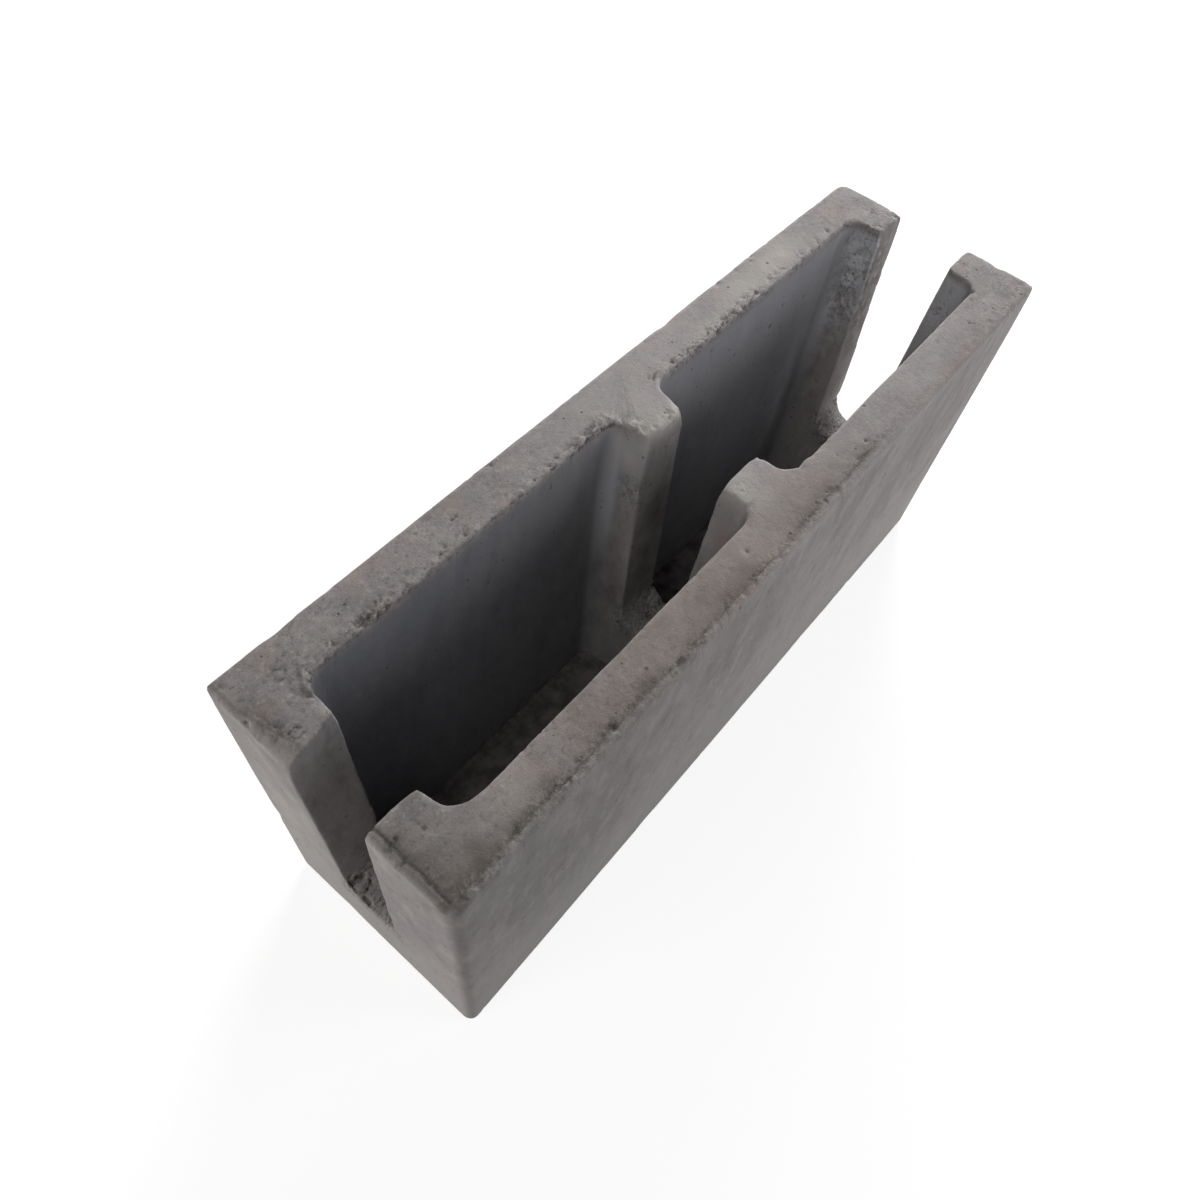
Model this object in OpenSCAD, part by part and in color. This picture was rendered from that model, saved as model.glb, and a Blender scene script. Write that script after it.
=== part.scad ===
// Hollow concrete shuttering block: two long face shells tied by three notched cross webs.
// Length runs along X, width along Y, height along Z. The origin is at the middle of the bottom bed.

/* [Block] */
// Length over the two ends
block_length = 500; // [440:1:620]
// Width over the two face shells
block_width = 142; // [130:1:320]
// Height from bed to bed
block_height = 235; // [180:1:260]
// Radius of the rounded outer edges
edge_radius = 3; // [1:0.5:5]

/* [Walls, measured at the top bed] */
// Thickness of each long face shell
shell_thickness = 26.5; // [20:0.5:34]
// Thickness of each web at an end of the block
end_web_thickness = 28; // [20:0.5:45]
// Thickness of the web in the middle
middle_web_thickness = 31.5; // [20:0.5:50]

/* [Cells] */
// Radius of a cell's upright corners at the top bed
cell_corner_radius = 10; // [7:0.5:18]
// How much nearer the middle a cell's walls are at the bottom bed than at the top
cell_draft = 2; // [0.5:0.5:5]

/* [Web notches] */
// Width of a notch at the top bed
notch_top_width = 47; // [40:1:60]
// Radius of the round bottom of a notch
notch_bottom_radius = 18; // [12:0.5:19]
// Height of a notch's lowest point over the bottom bed
notch_floor_height = 62; // [40:1:110]

/* [Hidden] */
$fn = 64;

// A cut runs this far past the face that it opens through
overcut = 2;

// Both cells have one size; the webs take up the rest of the length
cell_length = (block_length - 2 * end_web_thickness - middle_web_thickness) / 2;
cell_width = block_width - 2 * shell_thickness;
cell_centre = (middle_web_thickness + cell_length) / 2;

// The notch is a circle with two straight sides that touch it and spread towards the top
notch_half_top = notch_top_width / 2;
notch_centre_height = notch_floor_height + notch_bottom_radius;
notch_rise = block_height - notch_centre_height;
notch_slope = acos(notch_bottom_radius / norm([notch_half_top, notch_rise]))
    - atan2(notch_rise, notch_half_top);

// A rectangle with round corners, about its centre
module rounded_rectangle(length, width, radius) {
    square([length - 2 * radius, width], center = true);
    square([length, width - 2 * radius], center = true);
    for (side_x = [-1, 1], side_y = [-1, 1])
        translate([side_x * (length / 2 - radius), side_y * (width / 2 - radius)])
            circle(radius);
}

// The block's outside: its plan, its long elevation and its end elevation, each with round corners
module outer_body() {
    intersection() {
        translate([0, 0, -overcut])
            linear_extrude(block_height + 2 * overcut)
                rounded_rectangle(block_length, block_width, edge_radius);
        translate([0, 0, block_height / 2])
            rotate([90, 0, 0])
                linear_extrude(block_width + 2 * overcut, center = true)
                    rounded_rectangle(block_length, block_height, edge_radius);
        translate([0, 0, block_height / 2])
            rotate([90, 0, 90])
                linear_extrude(block_length + 2 * overcut, center = true)
                    rounded_rectangle(block_width, block_height, edge_radius);
    }
}

// A wall plane's distance from a cell's corner axes at a height over the bottom bed
function corner_reach(height) =
    cell_corner_radius - cell_draft * (1 - height / block_height);

// The space in one cell: four upright cones, one in each corner, and all that lies between them
module cell_core() {
    corner_x = cell_length / 2 - cell_corner_radius;
    corner_y = cell_width / 2 - cell_corner_radius;
    hull()
        for (side_x = [-1, 1], side_y = [-1, 1])
            translate([side_x * corner_x, side_y * corner_y, -overcut])
                cylinder(
                    h = block_height + 2 * overcut,
                    r1 = corner_reach(-overcut),
                    r2 = corner_reach(block_height + overcut),
                    $fn = 32
                );
}

// The outline of the notch that all three webs share, seen along the block
module notch_outline() {
    touch_half = notch_bottom_radius * cos(notch_slope);
    touch_height = notch_centre_height - notch_bottom_radius * sin(notch_slope);
    open_height = block_height + overcut;
    open_half = notch_half_top + overcut * tan(notch_slope);
    translate([0, notch_centre_height])
        circle(notch_bottom_radius);
    polygon([
        [-touch_half, touch_height],
        [touch_half, touch_height],
        [open_half, open_height],
        [-open_half, open_height]
    ]);
}

// The channel that the notches make together, from end to end
module notch_channel() {
    rotate([90, 0, 90])
        linear_extrude(block_length + 2 * overcut, center = true)
            notch_outline();
}

module block() {
    color([0.55, 0.54, 0.52])
        difference() {
            outer_body();
            for (side = [-1, 1])
                translate([side * cell_centre, 0, 0])
                    cell_core();
            notch_channel();
        }
}

block();
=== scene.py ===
# Looks of a hollow concrete shuttering block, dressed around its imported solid.
# Lengths are in millimetres, except where a name ends in _M; the scene itself is in metres,
# and a shader's scales are per metre.
import math

import bpy
import numpy as np
from mathutils import Matrix, Vector
from mathutils.kdtree import KDTree


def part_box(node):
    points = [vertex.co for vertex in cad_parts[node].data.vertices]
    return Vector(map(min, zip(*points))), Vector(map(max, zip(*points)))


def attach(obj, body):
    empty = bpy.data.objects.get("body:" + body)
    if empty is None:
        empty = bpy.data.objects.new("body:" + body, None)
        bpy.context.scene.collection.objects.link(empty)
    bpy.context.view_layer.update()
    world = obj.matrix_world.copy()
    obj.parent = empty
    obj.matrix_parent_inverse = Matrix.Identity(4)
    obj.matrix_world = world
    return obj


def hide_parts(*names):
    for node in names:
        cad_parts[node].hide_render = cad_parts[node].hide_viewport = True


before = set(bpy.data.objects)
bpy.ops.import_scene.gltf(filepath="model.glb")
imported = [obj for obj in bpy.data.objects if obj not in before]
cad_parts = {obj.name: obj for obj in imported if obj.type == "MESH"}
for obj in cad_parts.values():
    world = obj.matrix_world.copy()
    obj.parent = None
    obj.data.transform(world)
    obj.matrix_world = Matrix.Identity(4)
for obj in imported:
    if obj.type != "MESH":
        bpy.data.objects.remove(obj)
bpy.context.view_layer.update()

MM = 0.001
BLOCK_LOW, BLOCK_HIGH = (np.array(corner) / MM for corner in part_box("block"))
END_X, SIDE_Y, TOP_Z = BLOCK_HIGH

# Inner faces of the shells and webs and sides of the notches, at the top bed
SHELL_Y = SIDE_Y - 26.5
WEB_X = END_X - 28.0
MIDDLE_X = 15.75
NOTCH_Y = 23.5
NOTCH_FLOOR_Z = 62.0

# How far a notch's side comes in for each millimetre down
NOTCH_LEAN = 5.5 / 155.0

# Mesh fineness
VOXEL = 1.1
TRIANGLES = 190000

rng = np.random.default_rng(41)


# Numbers that vary smoothly over space
def hash_grid(ix, iy, iz, seed):
    """A repeatable number from -1 to 1 for each corner of a grid."""
    mixed = (ix * 73856093) ^ (iy * 19349663) ^ (iz * 83492791) ^ (seed * 40503 + 977)
    mixed = mixed & 0xFFFFFFFF
    mixed = ((mixed ^ (mixed >> 15)) * 2246822519) & 0xFFFFFFFF
    mixed = ((mixed ^ (mixed >> 13)) * 3266489917) & 0xFFFFFFFF
    mixed = mixed ^ (mixed >> 16)
    return mixed / 2147483647.5 - 1.0


def noise(points, size, seed):
    """Smooth noise from -1 to 1 whose lumps are about as large as size."""
    scaled = points / size
    corner = np.floor(scaled).astype(np.int64)
    part = scaled - corner
    part = part * part * (3.0 - 2.0 * part)
    total = np.zeros(len(points))
    for dx in (0, 1):
        for dy in (0, 1):
            for dz in (0, 1):
                weight = np.abs(1 - dx - part[:, 0])
                weight = weight * np.abs(1 - dy - part[:, 1])
                weight = weight * np.abs(1 - dz - part[:, 2])
                total += weight * hash_grid(
                    corner[:, 0] + dx, corner[:, 1] + dy, corner[:, 2] + dz, seed
                )
    return total


def fractal(points, size, seed, layers=3):
    """Noise with finer and fainter layers on top of the first."""
    total = np.zeros(len(points))
    strength = 1.0
    for layer in range(layers):
        total += strength * noise(points, size / 2**layer, seed + layer)
        strength *= 0.5
    return total


def smoothstep(low, high, value):
    """0 up to low and 1 from high on, smooth in between."""
    part = np.clip((value - low) / (high - low), 0.0, 1.0)
    return part * part * (3.0 - 2.0 * part)


def near(points, place, reach):
    """1 at a place, falling smoothly to 0 at the reach, which may differ by axis."""
    distance = np.linalg.norm((points - np.array(place)) / np.array(reach), axis=1)
    return 1.0 - smoothstep(0.0, 1.0, distance)


def band(value, low, high, fade):
    """1 between two values, with soft ends."""
    rise = smoothstep(low - fade, low + fade, value)
    return rise * (1.0 - smoothstep(high - fade, high + fade, value))


def dot(first, second):
    return np.einsum("ij,ij->i", first, second)


# Mesh helpers
def evaluated(piece):
    """A new mesh with what the piece's modifiers make of it, which are then taken off."""
    depsgraph = bpy.context.evaluated_depsgraph_get()
    mesh = bpy.data.meshes.new_from_object(piece.evaluated_get(depsgraph))
    piece.modifiers.clear()
    return mesh


def points_of(mesh):
    """The mesh's points in millimetres."""
    flat = np.empty(len(mesh.vertices) * 3)
    mesh.vertices.foreach_get("co", flat)
    return flat.reshape(-1, 3) / MM


def set_points(mesh, points):
    mesh.vertices.foreach_set("co", (points * MM).ravel())
    mesh.update()


def normals_of(mesh):
    flat = np.empty(len(mesh.vertices) * 3)
    mesh.vertex_normals.foreach_get("vector", flat)
    return flat.reshape(-1, 3)


def smoothed(piece, rounds):
    """The points of a piece after some rounds of smoothing, the piece left as it is."""
    modifier = piece.modifiers.new("smooth", "SMOOTH")
    modifier.factor = 0.5
    modifier.iterations = rounds
    mesh = evaluated(piece)
    points = points_of(mesh)
    bpy.data.meshes.remove(mesh)
    return points


def keep_mask(mesh, name, values):
    layer = mesh.attributes.new(name, "FLOAT", "POINT")
    layer.data.foreach_set("value", values.astype(np.float32))


# Lips where the concrete stands proud of the straight shape: place, reach and push
LIPS = [
    ((-242, NOTCH_Y - 2, TOP_Z), (20, 12, 34), (0.0, -3.6, 0.0)),
    ((-216, -SHELL_Y + 3.5, TOP_Z), (13, 13, 40), (1.3, 1.3, 0.0)),
    ((2, NOTCH_Y - 2, TOP_Z - 30), (22, 12, 110), (0.0, -3.0, 0.0)),
    ((END_X - 3, 18, 105), (16, 9, 75), (0.0, -1.4, 0.0)),
]

# Upright corners rounded in plan: place at the top bed, the way out, lean, radius and starting height
ROUND_CORNERS = [
    ((END_X, SIDE_Y), (1, 1), 0.0, 11.0, 40.0),
    ((-END_X, -SIDE_Y), (-1, -1), 0.0, 6.5, -60.0),
    ((END_X, -NOTCH_Y), (1, 1), NOTCH_LEAN, 7.0, 150.0),
    ((WEB_X, -NOTCH_Y), (-1, 1), NOTCH_LEAN, 6.0, 120.0),
]

# Corners cut off flat: the corner, its reach and three points of the cut
CUT_CORNERS = [
    ((-END_X, 20, TOP_Z), 42, ((-END_X, 61, TOP_Z), (-END_X, 20, TOP_Z - 9.5), (-241, 20, TOP_Z))),
]

# Corners worn rounder than the rest: place, reach and strength
ROUNDED = [
    ((END_X - 4, NOTCH_Y, TOP_Z), 7, 0.3),
    ((MIDDLE_X, NOTCH_Y, TOP_Z), 13, 0.8),
    ((-MIDDLE_X, NOTCH_Y, TOP_Z), 12, 0.5),
    ((-MIDDLE_X, -NOTCH_Y, TOP_Z), 9, 0.5),
    ((MIDDLE_X, -NOTCH_Y, TOP_Z), 8, 0.4),
    ((-WEB_X, -NOTCH_Y, TOP_Z), 12, 0.4),
    ((-END_X, -NOTCH_Y, TOP_Z), 7, 0.25),
    ((-END_X, NOTCH_Y, TOP_Z - 6), 18, 0.4),
    ((-WEB_X, NOTCH_Y, TOP_Z), 9, 0.35),
]

# Rounds of smoothing for a worn edge, and for a corner worn rounder than that
FINE_ROUNDS = 26
COARSE_ROUNDS = 190

# Rounding takes less off the top bed than off the sides of a corner
ROUNDING_BY_AXIS = np.array((1.0, 1.0, 0.45))


def shape_corners(points):
    """The straight shape with its lips, rounded corners and cut corners."""
    for place, reach, push in LIPS:
        points = points + near(points, place, reach)[:, None] * np.array(push)
    for (corner_x, corner_y), way_out, lean, radius, start in ROUND_CORNERS:
        depth = TOP_Z - points[:, 2]
        corner = np.column_stack((np.full(len(points), corner_x), corner_y + lean * depth))
        close = (np.abs(points[:, :2] - corner) < radius + 3).all(axis=1)
        away = points[:, :2] - corner + radius * np.array(way_out)
        length = np.maximum(np.hypot(away[:, 0], away[:, 1]), 1e-6)
        outside = close * (away * way_out > 0).all(axis=1) * (length > radius)
        outside = outside * smoothstep(start, start + 60, points[:, 2])
        points[:, :2] += away * (outside * (radius / length - 1.0))[:, None]
    for corner, reach, (first, second, third) in CUT_CORNERS:
        normal = np.cross(np.subtract(second, first), np.subtract(third, first))
        normal = normal / np.linalg.norm(normal)
        close = np.linalg.norm(points - np.array(corner), axis=1) < reach
        over = np.clip((points - np.array(first)) @ normal, 0.0, None) * close
        points = points - over[:, None] * normal
    # The hidden long edge leans in a little towards the far end
    pulled_in = 0.8 * smoothstep(195, 235, points[:, 0])
    pulled_in = pulled_in * smoothstep(TOP_Z - 40, TOP_Z, points[:, 2])
    points[:, 1] -= pulled_in * (points[:, 1] > SIDE_Y - 8)
    return points


def wear_edges(piece):
    """Rounds the edges unevenly, as the mould and handling leave them; returns how sharp each was."""
    points = points_of(piece.data)
    normals = normals_of(piece.data)
    fine = smoothed(piece, FINE_ROUNDS) - points
    coarse = (smoothed(piece, COARSE_ROUNDS) - points) * ROUNDING_BY_AXIS
    fine_round = np.clip(-dot(fine, normals), 0.0, None)
    coarse_round = np.clip(-dot(coarse, normals), 0.0, None)

    outer = (np.abs(points[:, 0]) > END_X - 6) | (np.abs(points[:, 1]) > SIDE_Y - 6)
    weight = np.where(outer, 0.12, 0.18)
    weight = weight + 0.6 * (points[:, 1] < -SIDE_Y + 6) * (points[:, 2] > TOP_Z - 6)
    weight = weight + 0.3 * fractal(points, 15.0, 3) + 0.2 * noise(points, 4.0, 9)
    weight = np.clip(weight, 0.04, 1.2) * smoothstep(0.02, 0.3, fine_round)

    spots = np.zeros(len(points))
    for place, reach, strength in ROUNDED:
        spots = np.maximum(spots, strength * near(points, place, reach))
    spots = np.clip(spots * (0.9 + 0.3 * noise(points, 6.0, 33)), 0.0, 1.0)
    spots = spots * smoothstep(0.02, 0.4, coarse_round)

    moved = points + fine * weight[:, None]
    moved = moved + (points + coarse - moved) * spots[:, None]
    set_points(piece.data, moved)
    return np.clip(fine_round / 1.6, 0.0, 1.0)


def along_line(points, y, z, reach):
    """1 on a line that runs lengthwise, fading out at the reach to its sides."""
    distance = np.hypot(points[:, 1] - y, points[:, 2] - z)
    return 1.0 - smoothstep(0.25 * reach, reach, distance)


def across_line(points, x, z, reach):
    """1 on a line that runs across the block, fading out at the reach to its sides."""
    distance = np.hypot(points[:, 0] - x, points[:, 2] - z)
    return 1.0 - smoothstep(0.25 * reach, reach, distance)


def holes(points, size, seed, amount):
    """Ragged hollows from 0 to 1; a larger amount leaves less of the surface whole."""
    bend = [noise(points, 0.55 * size, seed + 300 + axis) for axis in range(3)]
    field = fractal(points + 0.42 * size * np.column_stack(bend), size, seed, 3) / 1.4
    return smoothstep(0.36 - amount, 0.72 - amount, field)


# The line that the press plate leaves inside the top edges: its distance from the edge
LINE_IN = 4.3

# Its stretch on the near +Y corner, which runs askew: both ends in plan
CORNER_LINE = np.array(((-246.0, 68.0), (-240.4, 21.0)))

# Depth, darkening, breaks and grains of its stretches: the near end, the -Y edge and the near +Y corner
LINE_DEPTH = (0.75, 0.5, 0.35)
LINE_DARKENING = (0.9, 0.75, 0.5)
LINE_BREAKS = (0.06, 0.32, 0.06)
LINE_GRAIN = (0.4, 0.9, 0.4)


def mould_line(points):
    """For each stretch of that line, every point's distance from it and how much it shows there."""
    x, y, z = points.T
    wander = 0.7 * noise(points, 13.0, 81) + 0.6 * noise(points, 4.5, 82)
    stray = wander + 1.6 * noise(points, 46.0, 83)
    on_top = z > TOP_Z - 5
    patchy = np.clip(0.7 + 0.7 * noise(points, 10.0, 84), 0.25, 1.0)

    from_end = np.abs(x + END_X - LINE_IN - wander)
    end_part = on_top * band(y, -SIDE_Y + LINE_IN, -NOTCH_Y + 1, 1.0)
    from_side = np.abs(y + SIDE_Y - LINE_IN - 0.5 - stray)
    side_part = on_top * band(x, -END_X + LINE_IN, END_X - 4, 1.0) * patchy
    side_part = side_part * (1.0 - 0.62 * smoothstep(20, 110, x))

    start, stop = CORNER_LINE
    way = (stop - start) / np.linalg.norm(stop - start)
    from_left = np.abs((x - start[0]) * way[1] - (y - start[1]) * way[0] - 0.8 * wander)
    left_part = (z > TOP_Z - 6) * band(y, 24, 67, 1.5) * patchy * (x < -230)
    return ((from_end, end_part), (from_side, side_part), (from_left, left_part))


def notch_bottoms(points):
    """1 in the round bottoms of the notches, 0 elsewhere."""
    x, y, z = points.T
    bottom = (np.abs(y) < NOTCH_Y) * (1.0 - smoothstep(NOTCH_FLOOR_Z + 12, NOTCH_FLOOR_Z + 24, z))
    bottom = bottom * (z > NOTCH_FLOOR_Z - 8)
    return bottom * (1.0 - band(np.abs(x), MIDDLE_X + 3, WEB_X - 3, 1))


def beside_cells(x):
    """Whether a place along the block lies beside a cell, clear of the webs."""
    return (np.abs(x) < WEB_X - 4) * (np.abs(x) > MIDDLE_X + 2)


def worst_rim(x):
    """1 along the three places where the inner rim of the +Y shell is broken most."""
    return band(x, -192, -172, 5) + band(x, 34, 122, 12) + band(x, -46, -18, 5)


# Crumbly places: centre, reach, how much is gone and how deep
GRITTY = [
    ((WEB_X, 31, 196), (11, 24, 92), 0.46, 1.6),
    ((WEB_X + 12, 22, 185), (22, 8, 74), 0.24, 1.2),
    ((WEB_X, -32, 208), (10, 15, 44), 0.26, 1.2),
    ((WEB_X + 4, 10, 72), (14, 26, 30), 0.1, 1.3),
    ((-MIDDLE_X, 27, 188), (9, 15, 22), 0.46, 1.5),
    ((-220, 41, TOP_Z), (11, 12, 9), 0.34, 3.0),
    ((3, 25, TOP_Z), (20, 9, 9), 0.14, 1.1),
    ((-15, 34, TOP_Z), (11, 11, 9), 0.3, 2.2),
    ((-22, 43, TOP_Z), (14, 8, 8), 0.3, 2.2),
    ((-9, -30, TOP_Z), (12, 9, 8), -0.1, 0.6),
    ((24, -44, TOP_Z), (9, 6, 8), 0.12, 1.0),
]

# Pebbles that show as broken rings: place on the top bed, radius and seed
PEBBLES = [
    ((-226.0, 53.0), 3.4, 211),
    ((-238.0, 27.5), 3.0, 223),
]

# Single pores of the top bed: place and radius
PORES = [
    ((-242.5, -33.4, TOP_Z), 2.0),
    ((-232.3, -38.5, TOP_Z), 1.5),
    ((-151.0, -66.0, TOP_Z), 2.2),
    ((-120.0, 58.0, TOP_Z), 1.6),
    ((-38.0, -55.0, TOP_Z), 1.5),
    ((64.0, -60.0, TOP_Z), 1.7),
    ((188.0, -57.0, TOP_Z), 1.5),
]

# Knocked edges, and with a depth below zero what stands proud: place, reach and depth
KNOCKS = [
    ((-213, SIDE_Y, TOP_Z), (11, 7, 7), 0.9),
    ((246, 26, TOP_Z), (5, 5, 5), 1.5),
    ((END_X, -46, TOP_Z), (5, 5, 5), 0.7),
    ((-END_X, -SIDE_Y, TOP_Z), (6, 6, 6), 1.2),
    ((22, -SHELL_Y + 4, TOP_Z - 2), (7, 6, 6), -1.8),
    ((30, -SHELL_Y, TOP_Z - 1), (7, 4, 5), -1.0),
    ((END_X, SIDE_Y, 0), (9, 9, 9), 2.0),
    ((140, SIDE_Y, 0), (14, 7, 8), 1.4),
    ((-90, -SIDE_Y, 0), (12, 6, 6), 1.1),
    ((-END_X, 30, 0), (6, 12, 6), 1.1),
    ((END_X, -20, 0), (6, 12, 6), 1.2),
    ((60, SIDE_Y, TOP_Z), (12, 6, 6), 0.9),
    ((END_X, SIDE_Y, 120), (6, 6, 18), 1.0),
    ((-END_X, SIDE_Y, 90), (6, 6, 14), 0.8),
]

# A zone that is weaker than this is left whole
FAINT = 0.002


def crumble(points):
    """How far the surface is broken away, how much darker and how chalky the break is."""
    x, y, z = points.T
    loss = np.zeros(len(points))
    darkening = np.zeros(len(points))
    chalk = np.zeros(len(points))

    def breaks(zone, size, seed, amount, depth, dark):
        """Hollows in a zone: their size, how much of it they take, their depth and how much darker they
        are.
        """
        here = np.flatnonzero(zone > FAINT)
        amount = np.broadcast_to(amount, len(points))[here]
        hollow = zone[here] * holes(points[here], size, seed, amount)
        loss[here] = np.maximum(loss[here], depth * hollow)
        darkening[here] = np.maximum(darkening[here], dark * hollow)

    def crumbs(zone, size, seed, height):
        """Chalky grains that stand proud in a zone: their size and height."""
        here = np.flatnonzero(zone > FAINT)
        proud = zone[here] * smoothstep(0.35, 0.7, noise(points[here], size, seed))
        loss[here] -= height * proud
        chalk[here] = np.maximum(chalk[here], proud)

    in_cells = beside_cells(x)
    # Broken rim along the inner edge of the +Y shell
    rim = along_line(points, SHELL_Y + 1.0, TOP_Z, 7.5) * in_cells
    worst = worst_rim(x)
    breaks(rim, 6.4, 21, 0.08 + 0.18 * worst, 1.5, 0.6)
    breaks(rim, 3.2, 25, 0.12 + 0.14 * worst, 1.0, 0.7)
    crumbs(along_line(points, SHELL_Y, TOP_Z, 6.5) * in_cells, 3.0, 28, 0.7)
    # Clean inner edge of the -Y shell
    breaks(along_line(points, -SHELL_Y, TOP_Z, 4.0) * in_cells, 5.0, 31, -0.02, 0.6, 0.25)
    # The press plate's line, with pits along it and crumbs outside it
    for index, (away, shown) in enumerate(mould_line(points)):
        groove = shown * np.exp(-((away / 0.95) ** 2))
        np.maximum(loss, LINE_DEPTH[index] * groove, out=loss)
        np.maximum(darkening, LINE_DARKENING[index] * groove, out=darkening)
        breaks(shown * np.exp(-((away / 3.4) ** 2)), 3.6, 35 + index, LINE_BREAKS[index], 1.0, 0.85)
    crumbs(0.6 * along_line(points, -SIDE_Y + 1.6, TOP_Z, 3.4) * (x < 60), 2.4, 38, 0.3)
    breaks(near(points, (6, -SIDE_Y + 9, TOP_Z), (26, 9, 8)), 3.6, 41, 0.1, 0.7, 0.6)
    breaks(near(points, (-52, -SIDE_Y + 5, TOP_Z), (26, 8, 8)), 3.6, 43, 0.14, 0.8, 0.7)
    # Outer edge of the +Y shell and the bottom edges, less
    breaks(along_line(points, SIDE_Y - 1, TOP_Z, 4.5), 6.0, 45, -0.06, 0.8, 0.3)
    for side in (-1, 1):
        bottom_rim = along_line(points, side * (SHELL_Y - 1.5), 0.0, 9.0) * in_cells
        breaks(bottom_rim, 9.0, 47 + side, 0.16, 3.0, 0.5)
        breaks(along_line(points, side * SIDE_Y, 0.0, 5.0), 7.0, 53 + side, -0.02, 1.2, 0.35)
        breaks(across_line(points, side * END_X, 0.0, 5.0), 7.0, 57 + side, -0.02, 1.2, 0.35)
    # Edges of the web stubs, along the notches and over the cells
    in_webs = np.abs(y) < SHELL_Y - 3
    for side in (-1, 1):
        breaks(along_line(points, side * NOTCH_Y, TOP_Z, 4.5), 4.4, 151 + side, 0.05, 0.9, 0.25)
        middle_edge = across_line(points, side * MIDDLE_X, TOP_Z, 4.5) * in_webs
        breaks(middle_edge, 4.4, 155 + side, 0.08, 1.0, 0.25)
        end_edge = across_line(points, side * WEB_X, TOP_Z, 4.5) * in_webs
        breaks(end_edge, 4.4, 159 + side, 0.05, 0.9, 0.25)
    # The near rim and the far one
    breaks(across_line(points, -END_X + 1.5, TOP_Z, 6.0) * (y > NOTCH_Y - 6), 3.8, 61, 0.1, 0.8, 0.7)
    breaks(across_line(points, END_X - 1.0, TOP_Z, 4.0), 4.0, 65, 0.02, 0.6, 0.4)
    # Notch bottoms, open and porous, the near one most of all
    more = 0.1 * (x < -WEB_X) * smoothstep(-4, 6, y)
    breaks(notch_bottoms(points), 5.5, 71, 0.12 + more, 1.9, 0.85)
    # Gritty faces of the webs and crumbly places of the top bed
    for place, reach, amount, depth in GRITTY:
        zone = near(points, place, reach)
        breaks(zone, 4.0, 75, amount, depth, 0.58)
        crumbs(zone, 3.2, 76, 0.6)
    # Pits round pebbles of the top bed, and single pores
    for (px, py), radius, seed in PEBBLES:
        away = np.hypot((x - px), (y - py) * 1.3) + 1.1 * noise(points, 3.6, seed)
        ring = np.exp(-(((away - radius) / 0.85) ** 2)) * (z > TOP_Z - 4)
        ring = ring * smoothstep(-0.45, 0.25, noise(points, 4.4, seed + 1))
        np.maximum(loss, 0.9 * ring, out=loss)
        np.maximum(darkening, 0.9 * ring, out=darkening)
    ragged = 1.0 + 0.3 * noise(points, 2.2, 89)
    for place, radius in PORES:
        away = np.linalg.norm(points - np.array(place), axis=1) * ragged
        hollow = 1.0 - smoothstep(0.4 * radius, radius, away)
        np.maximum(loss, 0.6 * radius * hollow, out=loss)
        np.maximum(darkening, 0.8 * hollow, out=darkening)
    # Knocks and burrs
    uneven = 1.0 + 0.3 * noise(points, 5.0, 90)
    for place, reach, depth in KNOCKS:
        np.add(loss, depth * near(points, place, reach) * uneven, out=loss)
    return loss, darkening, chalk


# Pores strewn over all faces: how many, how deep and how much darker
PORE_COUNT = 240
PORE_DEPTH = 0.7
PORE_DARKENING = 0.7


def strewn_pores(points):
    """Small ragged pores at random places of the mesh: how deep each point lies, from 0 to 1."""
    tree = KDTree(len(points))
    for index, point in enumerate(points):
        tree.insert(point, index)
    tree.balance()
    share = np.zeros(len(points))
    ragged = 1.0 + 0.35 * noise(points, 1.9, 111)
    for centre in rng.integers(len(points), size=PORE_COUNT):
        radius = 0.9 + 1.3 * rng.random() ** 2.5
        for _, index, distance in tree.find_range(points[centre], radius * 1.4):
            part = 1.0 - (distance * ragged[index] / radius) ** 2
            share[index] = max(share[index], min(part, 1.0))
    return share


def make_block():
    """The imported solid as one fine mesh, worn and broken, with the masks that its material reads."""
    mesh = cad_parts["block"].data.copy()
    mesh.materials.clear()
    piece = bpy.data.objects.new("concrete_block", mesh)
    bpy.context.scene.collection.objects.link(piece)

    remesh = piece.modifiers.new("voxels", "REMESH")
    remesh.mode = "VOXEL"
    remesh.voxel_size = VOXEL * MM
    piece.data = evaluated(piece)
    set_points(piece.data, shape_corners(points_of(piece.data)))
    edge = wear_edges(piece)
    points = points_of(piece.data)
    normals = normals_of(piece.data)

    # Slow waves of the faces and their gritty skin
    shift = 0.22 * fractal(points, 48.0, 51, 2) + 0.06 * fractal(points, 7.0, 61, 2)
    loss, darkening, chalk = crumble(points)
    pores = strewn_pores(points)
    shift = shift - loss - PORE_DEPTH * pores
    points = np.clip(points + normals * shift[:, None], BLOCK_LOW, BLOCK_HIGH)
    set_points(piece.data, points)

    keep_mask(piece.data, "edge", edge)
    keep_mask(piece.data, "darkening", np.maximum(darkening, PORE_DARKENING * pores))
    keep_mask(piece.data, "chalk", chalk)

    # Each face of the voxel mesh is two triangles
    decimate = piece.modifiers.new("fewer", "DECIMATE")
    decimate.ratio = TRIANGLES / (2 * len(piece.data.polygons))
    piece.data = evaluated(piece)
    piece.data.shade_smooth()
    colour_masks(piece.data)
    return piece
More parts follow.
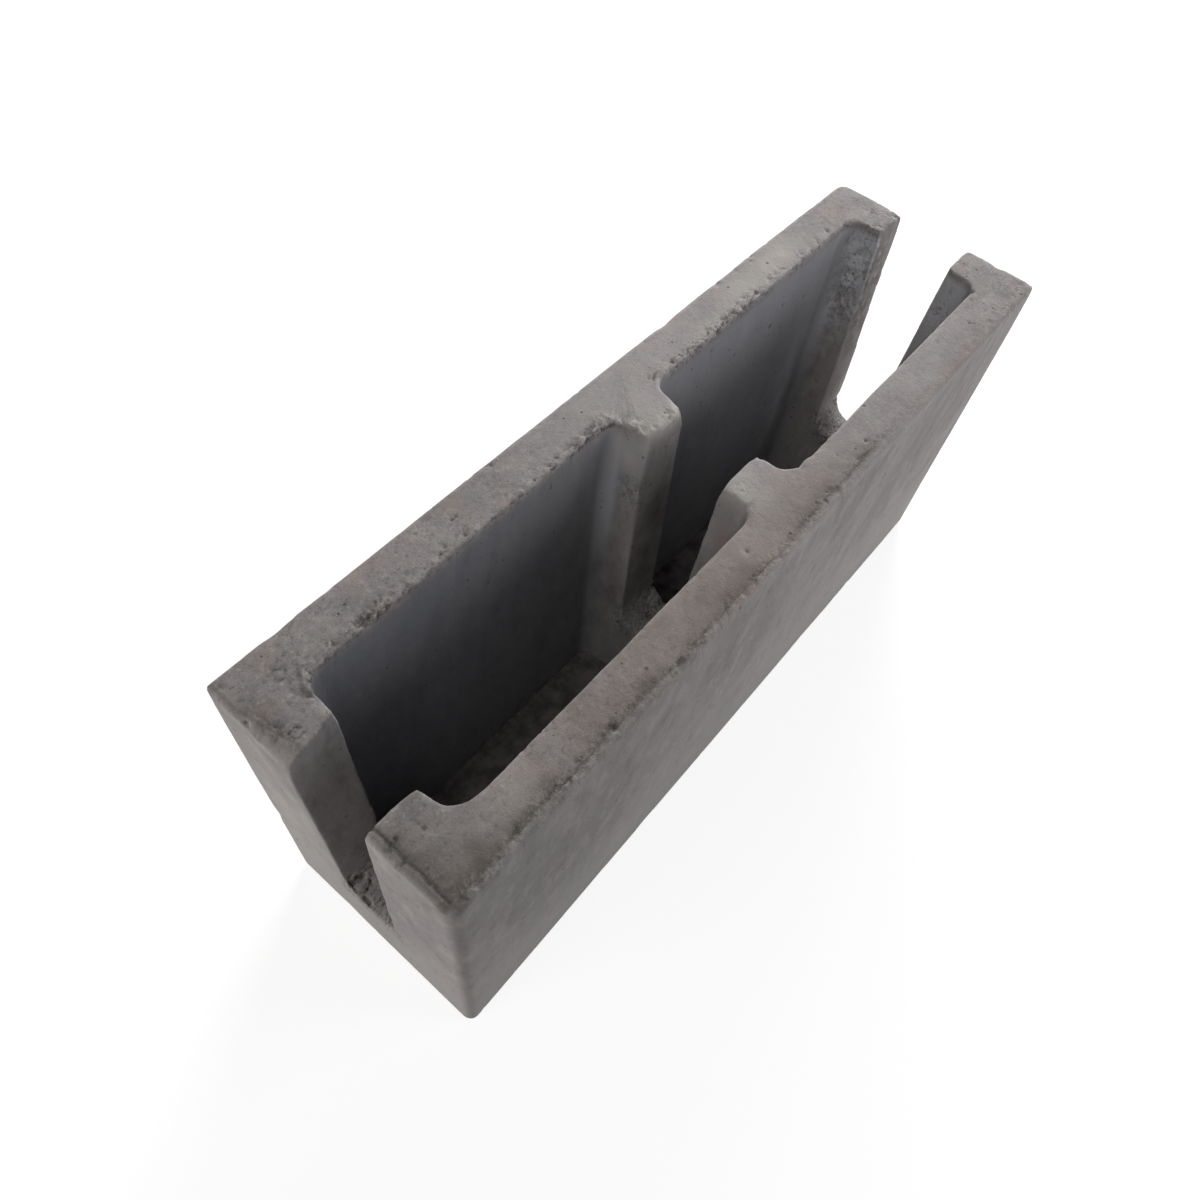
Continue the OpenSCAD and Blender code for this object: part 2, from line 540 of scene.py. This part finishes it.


# Stains, with a painted highlight and painted shade among them: place, reach along each axis and
# strength
PALE = [
    ((-3, 27, TOP_Z), (26, 18, 13), 1.0),
    ((10, 25, TOP_Z), (16, 13, 11), 0.9),
    ((-6, -32, TOP_Z), (19, 17, 13), 1.0),
    ((152, 58, TOP_Z), (36, 17, 8), 0.9),
    ((118, 56, TOP_Z), (32, 15, 8), 0.75),
    ((80, 50, TOP_Z), (40, 10, 8), 0.45),
    ((0, 55, TOP_Z), (55, 22, 8), 0.3),
    ((-198, -53, TOP_Z), (26, 16, 8), 0.3),
    ((-228, -45, TOP_Z), (11, 9, 6), 0.3),
    ((-END_X, -57, 138), (6, 9, 12), 0.4),
    ((-END_X, -30, 205), (6, 16, 22), 0.3),
    ((-END_X, 48, 140), (6, 44, 120), 0.45),
    ((-END_X, -45, 190), (6, 34, 50), 0.25),
    # Painted highlight: a thin bright line along the near end's top edge
    ((-END_X, 52, TOP_Z - 5), (4, 14, 4), 0.5),
    ((-END_X, 36, TOP_Z - 8), (4, 16, 4), 0.5),
    ((-END_X, -32, TOP_Z - 4), (4, 16, 4), 0.45),
    ((-END_X, -54, TOP_Z - 4), (4, 18, 4), 0.5),
    ((9, 21, TOP_Z - 2), (11, 8, 7), 0.8),
    ((-MIDDLE_X - 1, 32, 217), (7, 17, 24), 0.75),
]
GRIME_AND_SHADE = [
    ((-238, -46, TOP_Z), (36, 40, 12), 0.42),
    ((-246, 30, TOP_Z), (10, 26, 14), 0.36),
    ((-246, 52, TOP_Z), (8, 26, 8), 0.3),
    ((-80, -58, TOP_Z), (75, 18, 8), 0.4),
    ((80, -56, TOP_Z), (150, 26, 8), 0.14),
    ((5, -52, TOP_Z), (60, 24, 8), 0.28),
    ((-150, -56, TOP_Z), (90, 26, 8), 0.16),
    ((-55, -50, TOP_Z), (42, 15, 8), 0.3),
    # Painted shade: the -Y face is darker over its near part
    ((-160, -SIDE_Y, 170), (210, 6, 120), 0.3),
    ((-222, 38, TOP_Z), (8, 10, 8), 0.4),
    # Painted shade: the notch faces, the lower parts of the webs and the notch bottoms deep in the
    # cells are darkened
    ((WEB_X + 16, 21, 150), (32, 10, 140), 0.85),
    ((5, NOTCH_Y - 5, 140), (24, 12, 110), 1.0),
    ((-236, NOTCH_Y - 1, 190), (20, 6, 46), 0.4),
    ((-MIDDLE_X - 1, 31, 95), (7, 22, 70), 0.7),
    ((WEB_X, 31, 105), (8, 22, 75), 0.6),
    ((0, 6, NOTCH_FLOOR_Z + 6), (22, 18, 16), 0.75),
    ((WEB_X + 14, 8, NOTCH_FLOOR_Z + 8), (26, 22, 24), 1.0),
]
WARM = [
    ((-198, -53, TOP_Z), (30, 18, 8), 0.8),
    ((150, 58, TOP_Z), (44, 16, 8), 0.5),
    ((-MIDDLE_X, 26, 198), (6, 12, 22), 0.3),
    ((150, -69, TOP_Z), (75, 6, 6), 1.0),
    ((-70, -56, TOP_Z), (200, 28, 8), 1.0),
    ((-MIDDLE_X, -32, 195), (7, 16, 60), 0.8),
    ((-46, -66, TOP_Z), (30, 10, 8), 0.5),
]


def stain(points, spots, seed):
    """The strongest of some stains at each point, with ragged borders."""
    total = np.zeros(len(points))
    for place, reach, strength in spots:
        total = np.maximum(total, strength * near(points, place, reach))
    ragged = 1.0 + 0.5 * fractal(points, 8.0, seed, 2)
    return np.clip(total * ragged, 0.0, 1.0)


def rough_zones(points):
    """Where the surface is broken up in grains too fine for the mesh, from 0 to 1."""
    x = points[:, 0]
    rough = along_line(points, SHELL_Y + 1.0, TOP_Z, 8.0) * beside_cells(x)
    rough = rough * (0.4 + 0.6 * worst_rim(x))
    for share, (away, shown) in zip(LINE_GRAIN, mould_line(points)):
        rough = np.maximum(rough, share * shown * np.exp(-((away / 2.8) ** 2)))
    rough = np.maximum(rough, 0.85 * notch_bottoms(points))
    for place, reach, amount, _ in GRITTY:
        rough = np.maximum(rough, np.clip(2.2 * amount, 0.2, 0.9) * near(points, place, reach))
    return np.clip(rough * (0.9 + 0.6 * noise(points, 7.0, 131)), 0.0, 1.0)


def bed_of(z):
    """1 on the top bed, 0 below it."""
    return smoothstep(TOP_Z - 7, TOP_Z - 2.5, z)


def skin_of(points):
    """1 on the smooth skin that the mould leaves inside the cells, below the top bed."""
    x, y, z = points.T
    skin = (np.abs(x) < WEB_X + 1.5) * smoothstep(SHELL_Y - 14, SHELL_Y - 4, np.abs(y))
    skin = skin * (np.abs(y) < SHELL_Y + 1.5) * (1.0 - smoothstep(TOP_Z - 9, TOP_Z - 3, z))
    clear_of_web = np.where(y > 0, MIDDLE_X + 1, MIDDLE_X + 14)
    return skin * smoothstep(MIDDLE_X - 2, clear_of_web, np.abs(x))


# Painted light in the creases between the +Y shell and a web, where shade would fall: place along the
# block, starting height and strength
PAINTED_LIGHT_CREASES = [
    (WEB_X - 3, 90, 1.7),
    (-MIDDLE_X - 3, 100, 1.4),
]


def painted_light_of(points, skin):
    """Painted light: paler upper parts of the cells' walls and webs, more so towards the far end, and
    paler creases.
    """
    x, y, z = points.T
    upper = 0.8 * smoothstep(60, 200, z) + 0.4 * smoothstep(150, 225, z)
    painted_light = 0.55 * skin * smoothstep(-170, 130, x) * upper
    far_web_light = np.where(y > 0, 1.95, 1.4) * smoothstep(125, 215, z)
    far_web_light = far_web_light * band(x, WEB_X - 3, WEB_X + 4, 1.5)
    middle_web_light = np.where(y > 0, 0.9 * smoothstep(165, 222, z), 0.55 * smoothstep(120, 215, z))
    middle_web_light = middle_web_light * band(x, -MIDDLE_X - 2, -MIDDLE_X + 2, 1.5)
    painted_light = np.maximum(painted_light, np.maximum(far_web_light, middle_web_light))
    for crease_x, start, strength in PAINTED_LIGHT_CREASES:
        away = np.hypot(0.5 * (x - crease_x), 1.4 * (y - SHELL_Y + 3))
        crease_light = 1.0 - smoothstep(3, 12, away)
        painted_light = np.maximum(painted_light, strength * crease_light * smoothstep(start, start + 90, z))
    return painted_light * (1.0 - bed_of(z)) * (np.abs(y) < SHELL_Y + 1.5)


def soil_of(points):
    """Soil that gathers inside the press plate's line, along the -Y edge and at the near end."""
    x, y, _ = points.T
    inward = y + SIDE_Y - LINE_IN
    soil = smoothstep(-2.0, 1.0, inward)
    soil = soil * (1.0 - smoothstep(1.0, 13.0, inward + 4.0 * noise(points, 9.0, 121)))
    soil = soil * (1.0 - 0.6 * smoothstep(40, 120, x))
    inward = x + END_X - LINE_IN
    behind = smoothstep(-3.5, 0.5, inward)
    behind = behind * (1.0 - smoothstep(1.0, 7.0, inward + 3.0 * noise(points, 8.0, 123)))
    behind = behind * np.where(y > 0, 0.55, 0.8)
    return np.maximum(soil, behind) * np.clip(0.62 + 0.7 * noise(points, 26.0, 127), 0.2, 1.0)


def colour_masks(mesh):
    """Keeps on the mesh what the material reads: stains and grime with painted shade and a painted
    highlight, the cells' skin with painted shade, painted light in the cells, dust and the drier top
    bed with painted light, beds, grains and soil.
    """
    points = points_of(mesh)
    x, y, z = points.T
    keep_mask(mesh, "pale", stain(points, PALE, 91))
    # Grime, and painted shade deep in the cells and on the near part of the -Y face
    keep_mask(mesh, "grime_and_shade", stain(points, GRIME_AND_SHADE, 95))
    keep_mask(mesh, "warm", stain(points, WARM, 99))

    skin = skin_of(points)
    # The cells' smooth skin is bluish and darker, partly painted shade of the deep cells, more so
    # towards the near end
    keep_mask(mesh, "inside", skin * (1.25 - 0.25 * smoothstep(-170, -40, x)))
    # Painted light on the upper walls, webs and creases of the cells
    keep_mask(mesh, "painted_light", painted_light_of(points, skin))

    # Dust at the foot of the outer faces, partly painted light bounced up from the floor
    foot = 1.0 - smoothstep(10, 135, z + 18.0 * noise(points, 30.0, 107))
    outside = (np.abs(x) > WEB_X + 20) | (np.abs(y) > SHELL_Y + 20)
    keep_mask(mesh, "dust_and_painted_light", foot * outside)

    # Both beds, and the drier parts of the top one, partly painted light that leaves the near end
    # darker, and its soil
    bed = bed_of(z)
    keep_mask(mesh, "bed", np.maximum(bed, 1.0 - smoothstep(2.5, 7, z)))
    along = x + 22.0 * noise(points, 55.0, 103)
    dry_and_painted_light = smoothstep(-170, 10, along) * (1.0 - 0.75 * smoothstep(140, 215, along))
    keep_mask(mesh, "dry_and_painted_light", bed * dry_and_painted_light)
    keep_mask(mesh, "rough", rough_zones(points))
    keep_mask(mesh, "soil", bed * soil_of(points))


# Shader helpers
class Graph:
    """Adds nodes to a shader tree, each with its settings and inputs in one call."""

    def __init__(self, tree):
        self.tree = tree
        tree.nodes.clear()

    def add(self, kind, inputs=None, **settings):
        made = self.tree.nodes.new(kind)
        for name, value in settings.items():
            setattr(made, name, value)
        for name, value in (inputs or {}).items():
            self.feed(made.inputs[name], value)
        return made

    def feed(self, socket, value):
        if isinstance(value, bpy.types.NodeSocket):
            self.tree.links.new(value, socket)
        else:
            socket.default_value = value

    def math(self, operation, first, second=0.0, clamp=False):
        made = self.add("ShaderNodeMath", operation=operation, use_clamp=clamp)
        self.feed(made.inputs[0], first)
        self.feed(made.inputs[1], second)
        return made.outputs[0]

    def ramp(self, value, low, high, to_low=0.0, to_high=1.0):
        """A smooth ramp that gives to_low at low and to_high at high."""
        made = self.add(
            "ShaderNodeMapRange",
            {
                "Value": value,
                "From Min": low,
                "From Max": high,
                "To Min": to_low,
                "To Max": to_high,
            },
            interpolation_type="SMOOTHSTEP",
        )
        return made.outputs["Result"]

    def mix(self, amount, first, second):
        """Two colours mixed; this node's sockets for colours come after those for other data."""
        made = self.add("ShaderNodeMix", data_type="RGBA")
        self.feed(made.inputs[0], amount)
        self.feed(made.inputs[6], first)
        self.feed(made.inputs[7], second)
        return made.outputs[2]

    def noise(self, place, scale, detail=2.0, roughness=0.5):
        made = self.add(
            "ShaderNodeTexNoise",
            {"Vector": place, "Scale": scale, "Detail": detail, "Roughness": roughness},
        )
        return made.outputs[0]

    def cells(self, place, scale):
        """Distance to the nearest cell centre, and that cell's own random number."""
        made = self.add("ShaderNodeTexVoronoi", {"Vector": place, "Scale": scale})
        parts = self.add("ShaderNodeSeparateColor", {"Color": made.outputs["Color"]})
        return made.outputs["Distance"], parts.outputs[0]

    def times(self, first, second):
        return self.math("MULTIPLY", first, second)

    def mask(self, name):
        return self.add("ShaderNodeAttribute", attribute_name=name).outputs["Fac"]


def tone(red, green, blue):
    """A colour given as it looks on screen, 0 to 255."""
    parts = []
    for value in (red, green, blue):
        value = value / 255.0
        parts.append(value / 12.92 if value <= 0.04045 else ((value + 0.055) / 1.055) ** 2.4)
    return (*parts, 1.0)


def concrete():
    material = bpy.data.materials.new("concrete")
    material.use_nodes = True
    g = Graph(material.node_tree)
    place = g.add("ShaderNodeTexCoord").outputs["Object"]
    # Patterns are drawn out upright, as the mould was pulled: streaks a lot and clouds a little
    drawn = g.add("ShaderNodeMapping", {"Vector": place, "Scale": (1.0, 1.0, 0.04)}).outputs[0]
    pulled = g.add("ShaderNodeMapping", {"Vector": place, "Scale": (1.0, 1.0, 0.42)}).outputs[0]

    clouds = g.noise(pulled, 17.0, 3.0)
    mottle = g.noise(pulled, 85.0, 4.0, 0.6)
    specks = g.noise(pulled, 330.0, 2.0, 0.6)
    grit = g.noise(place, 1150.0, 2.0, 0.7)
    streaks = g.noise(drawn, 190.0, 3.0, 0.6)
    hue = g.noise(place, 41.0, 2.0)
    _, stones = g.cells(place, 620.0)

    # Cement tone, from broad clouds down to grains of sand, which the mould's smooth sides hide in part
    bare = g.ramp(g.mask("bed"), 0.0, 1.0, 0.4, 1.0)
    colour = g.mix(g.ramp(clouds, 0.36, 0.64), tone(144, 139, 139), tone(159, 153, 152))
    colour = g.mix(g.ramp(mottle, 0.5, 0.68, 0.0, 0.45), colour, tone(180, 174, 170))
    colour = g.mix(g.ramp(mottle, 0.47, 0.31, 0.0, 0.48), colour, tone(116, 111, 111))
    colour = g.mix(g.times(bare, g.ramp(specks, 0.44, 0.28, 0.0, 0.5)), colour, tone(92, 89, 87))
    colour = g.mix(g.times(bare, g.ramp(specks, 0.59, 0.75, 0.0, 0.4)), colour, tone(194, 189, 182))
    colour = g.mix(g.times(bare, g.ramp(stones, 0.8, 1.0, 0.0, 0.22)), colour, tone(190, 184, 176))
    colour = g.mix(g.times(bare, g.ramp(stones, 0.2, 0.0, 0.0, 0.24)), colour, tone(100, 98, 96))
    colour = g.mix(g.times(bare, g.ramp(grit, 0.5, 0.3, 0.0, 0.24)), colour, tone(98, 96, 94))
    colour = g.mix(g.ramp(streaks, 0.5, 0.3, 0.0, 0.05), colour, tone(112, 110, 109))
    colour = g.mix(g.times(bare, g.ramp(hue, 0.55, 0.72, 0.0, 0.3)), colour, tone(166, 150, 136))
    colour = g.mix(g.times(bare, g.ramp(hue, 0.45, 0.28, 0.0, 0.3)), colour, tone(140, 142, 134))

    # Drier parts of the top bed, partly painted light; the bluish skin of the cells, partly painted
    # shade; painted light on the cells' upper walls, webs and creases; and dust at the foot, partly
    # painted light from the floor
    colour = g.mix(g.times(g.mask("dry_and_painted_light"), 0.42), colour, tone(188, 182, 182))
    colour = g.mix(g.times(g.mask("inside"), 0.5), colour, tone(113, 118, 128))
    # Painted light: the upper walls, webs and creases of the cells made paler
    colour = g.mix(g.times(g.mask("painted_light"), 0.4), colour, tone(214, 214, 218))
    colour = g.mix(g.times(g.mask("dust_and_painted_light"), 0.75), colour, tone(172, 168, 165))

    # Stains and grime, with painted shade deep in the cells and a painted highlight along the near
    # end's top edge
    colour = g.mix(g.times(g.mask("warm"), 0.38), colour, tone(158, 140, 126))
    colour = g.mix(g.times(g.mask("pale"), 0.75), colour, tone(195, 191, 184))
    grime_and_shade = g.times(g.mask("grime_and_shade"), g.ramp(mottle, 0.3, 0.6, 0.85, 0.6))
    colour = g.mix(grime_and_shade, colour, tone(92, 89, 84))
    soil = g.times(g.mask("soil"), g.ramp(mottle, 0.3, 0.62, 0.85, 0.6))
    colour = g.mix(soil, colour, tone(96, 88, 80))

    # Fine pores, darker dents, and edges lighter for chalky wear and a painted highlight
    distance, size = g.cells(place, 200.0)
    reach = g.ramp(size, 0.72, 1.0, 0.0, 0.24)
    pore = g.ramp(g.math("SUBTRACT", reach, distance), 0.0, 0.1)
    colour = g.mix(g.times(pore, 0.55), colour, tone(66, 63, 61))
    # Chalky wear and a painted highlight along the sharp edges
    chalk = g.times(g.ramp(g.mask("edge"), 0.3, 0.9), g.ramp(mottle, 0.4, 0.62))
    colour = g.mix(g.times(chalk, 0.1), colour, tone(182, 178, 171))
    colour = g.mix(g.times(g.mask("chalk"), 0.65), colour, tone(192, 189, 182))
    darkening = g.times(g.ramp(g.mask("darkening"), 0.1, 0.85), g.ramp(specks, 0.3, 0.6, 0.85, 0.55))
    colour = g.mix(darkening, colour, tone(62, 59, 56))

    # Grains and pits of the broken places
    grains = g.noise(place, 520.0, 3.0, 0.7)
    rough = g.mask("rough")
    colour = g.mix(g.times(rough, g.ramp(grains, 0.55, 0.66, 0.0, 0.5)), colour, tone(186, 182, 175))
    colour = g.mix(g.times(rough, g.ramp(grains, 0.49, 0.38, 0.0, 0.66)), colour, tone(64, 60, 58))

    # Relief too fine for the mesh
    height = g.times(grit, 0.4)
    height = g.math("ADD", height, g.times(g.times(rough, grains), 2.4))
    height = g.math("ADD", height, g.times(specks, 0.7))
    height = g.math("ADD", height, g.times(stones, 0.16))
    height = g.math("SUBTRACT", height, g.times(pore, 0.8))
    strength = g.ramp(g.mask("bed"), 0.0, 1.0, 0.4, 0.65)
    bump = g.add("ShaderNodeBump", {"Strength": strength, "Distance": 0.0007, "Height": height})

    shader = g.add(
        "ShaderNodeBsdfPrincipled",
        {
            "Base Color": colour,
            "Roughness": g.ramp(mottle, 0.3, 0.7, 0.86, 0.97),
            "Normal": bump.outputs["Normal"],
        },
    )
    shader.inputs["Specular IOR Level"].default_value = 0.25
    g.add("ShaderNodeOutputMaterial", {"Surface": shader.outputs[0]})
    return material


# Stage
def seen_directly(g):
    """1 for rays from the camera, straight or by mirror or glass, and 0 for light on the object."""
    path = g.add("ShaderNodeLightPath").outputs
    seen = g.math("ADD", path["Is Camera Ray"], path["Is Glossy Ray"], clamp=True)
    return g.math("ADD", seen, path["Is Transmission Ray"], clamp=True)


# The floor's colour for light that bounces off it, and as it is seen
FLOOR_BOUNCE = (0.6, 0.6, 0.6, 1.0)
FLOOR_SEEN = (0.26, 0.26, 0.26, 1.0)
FLOOR_REACH_M = 12.0

# The glow that makes the floor pale: its strength near the block, rising to 1 between two distances
FLOOR_GLOW = 0.84
GLOW_NEAR_M = 0.55
GLOW_FAR_M = 1.8

# The dark ground inside the cells, whose border lies under the walls
GROUND_INSET = 12
GROUND_BOUNCE = (0.2, 0.18, 0.17, 1.0)
GROUND_SEEN_DARK = (0.11, 0.1, 0.097, 1.0)
GROUND_SEEN_PALE = (0.22, 0.2, 0.193, 1.0)


def floor_material():
    material = bpy.data.materials.new("studio_floor")
    material.use_nodes = True
    g = Graph(material.node_tree)
    place = g.add("ShaderNodeTexCoord").outputs["Object"]
    parts = g.add("ShaderNodeSeparateXYZ", {"Vector": place}).outputs
    half_length = (END_X - GROUND_INSET) * MM
    half_width = (SIDE_Y - GROUND_INSET) * MM
    under = g.math("LESS_THAN", g.math("ABSOLUTE", parts["X"]), half_length)
    under = g.times(under, g.math("LESS_THAN", g.math("ABSOLUTE", parts["Y"]), half_width))
    seen = seen_directly(g)
    colour = g.mix(seen, FLOOR_BOUNCE, FLOOR_SEEN)
    lumps = g.ramp(g.noise(place, 70.0, 4.0, 0.65), 0.35, 0.65)
    ground = g.mix(seen, GROUND_BOUNCE, g.mix(lumps, GROUND_SEEN_DARK, GROUND_SEEN_PALE))
    colour = g.mix(under, colour, ground)
    diffuse = g.add("ShaderNodeBsdfDiffuse", {"Color": colour})
    squares = [g.times(parts[axis], parts[axis]) for axis in ("X", "Y")]
    away = g.math("SQRT", g.math("ADD", *squares))
    strength = g.ramp(away, GLOW_NEAR_M, GLOW_FAR_M, FLOOR_GLOW, 1.0)
    strength = g.times(g.times(seen, g.math("SUBTRACT", 1.0, under)), strength)
    glow = g.add("ShaderNodeEmission", {"Strength": strength})
    both = g.add("ShaderNodeAddShader")
    g.feed(both.inputs[0], diffuse.outputs[0])
    g.feed(both.inputs[1], glow.outputs[0])
    g.add("ShaderNodeOutputMaterial", {"Surface": both.outputs[0]})
    return material


def make_floor():
    mesh = bpy.data.meshes.new("floor")
    ways = ((-1, -1, 0), (1, -1, 0), (1, 1, 0), (-1, 1, 0))
    corners = [FLOOR_REACH_M * Vector(way) for way in ways]
    mesh.from_pydata(corners, [], [(0, 1, 2, 3)])
    floor = bpy.data.objects.new("floor", mesh)
    floor.data.materials.append(floor_material())
    bpy.context.scene.collection.objects.link(floor)


# Light of the sky at the horizon and overhead
SKY_LOW = (0.03, 0.0312, 0.0335, 1.0)
SKY_HIGH = (0.0086, 0.009, 0.0098, 1.0)

# Soft lamps: name, place, what they face, size, power and colour, in metres and watts
LAMPS_M = [
    ("far_light", (1.05, 0.5, 0.95), (0.2, 0.02, 0.2), 0.8, 7.0, (1.0, 1.0, 1.0)),
    ("far_low_light", (1.3, 0.6, 0.5), (0.2, 0.02, 0.2), 0.8, 21.0, (1.0, 1.0, 1.0)),
    ("end_light", (-1.1, 0.5, 0.09), (-0.25, 0.0, 0.1), 0.5, 5.6, (1.0, 0.99, 0.98)),
    ("end_high_light", (-1.0, -0.05, 1.1), (-0.05, 0.0, 0.15), 0.8, 5.3, (1.0, 0.99, 0.98)),
    ("side_light", (0.9, -1.2, 0.75), (0.1, 0.0, 0.2), 1.0, 9.2, (0.97, 0.99, 1.02)),
    ("side_low_light", (0.5, -1.0, 0.07), (0.1, -0.07, 0.1), 0.5, 1.7, (1.0, 1.0, 1.0)),
]


def make_world():
    world = bpy.data.worlds.new("studio")
    world.use_nodes = True
    g = Graph(world.node_tree)
    way = g.add("ShaderNodeTexCoord").outputs["Generated"]
    up = g.add("ShaderNodeSeparateXYZ", {"Vector": way}).outputs["Z"]
    sky = g.mix(g.math("MAXIMUM", up, 0.0), SKY_LOW, SKY_HIGH)
    colour = g.mix(seen_directly(g), sky, (1.0, 1.0, 1.0, 1.0))
    back = g.add("ShaderNodeBackground", {"Color": colour, "Strength": 1.0})
    g.add("ShaderNodeOutputWorld", {"Surface": back.outputs[0]})
    bpy.context.scene.world = world


def make_lamps():
    for name, place, target, size, power, colour in LAMPS_M:
        light = bpy.data.lights.new(name, "AREA")
        light.shape = "DISK"
        light.size = size
        light.energy = power
        light.color = colour
        lamp = bpy.data.objects.new(name, light)
        lamp.location = place
        way = Vector(target) - Vector(place)
        lamp.rotation_euler = way.to_track_quat("-Z", "Y").to_euler()
        bpy.context.scene.collection.objects.link(lamp)


# The photograph's view
CAMERA_PLACE_M = Vector((-0.301, -0.1444, 0.589))
CAMERA_AIM_M = Vector((-0.0423, 0.0192, 0.1175))
CAMERA_ROLL = math.radians(9.0)
CAMERA_LENS = 28.2


def make_camera():
    data = bpy.data.cameras.new("photo_view")
    data.sensor_width = 36.0
    data.lens = CAMERA_LENS
    data.clip_start = 0.01
    camera = bpy.data.objects.new("photo_view", data)
    forward = (CAMERA_AIM_M - CAMERA_PLACE_M).normalized()
    level = forward.cross(Vector((0, 0, 1))).normalized()
    upright = level.cross(forward)
    right = level * math.cos(CAMERA_ROLL) + upright * math.sin(CAMERA_ROLL)
    up = right.cross(forward)
    turn = Matrix((right, up, -forward)).transposed()
    camera.matrix_world = Matrix.Translation(CAMERA_PLACE_M) @ turn.to_4x4()
    bpy.context.scene.collection.objects.link(camera)
    bpy.context.scene.camera = camera


make_camera()
block = make_block()
block.data.materials.append(concrete())
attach(block, "root")
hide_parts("block")
make_floor()
make_world()
make_lamps()
bpy.context.scene.view_settings.view_transform = "Standard"
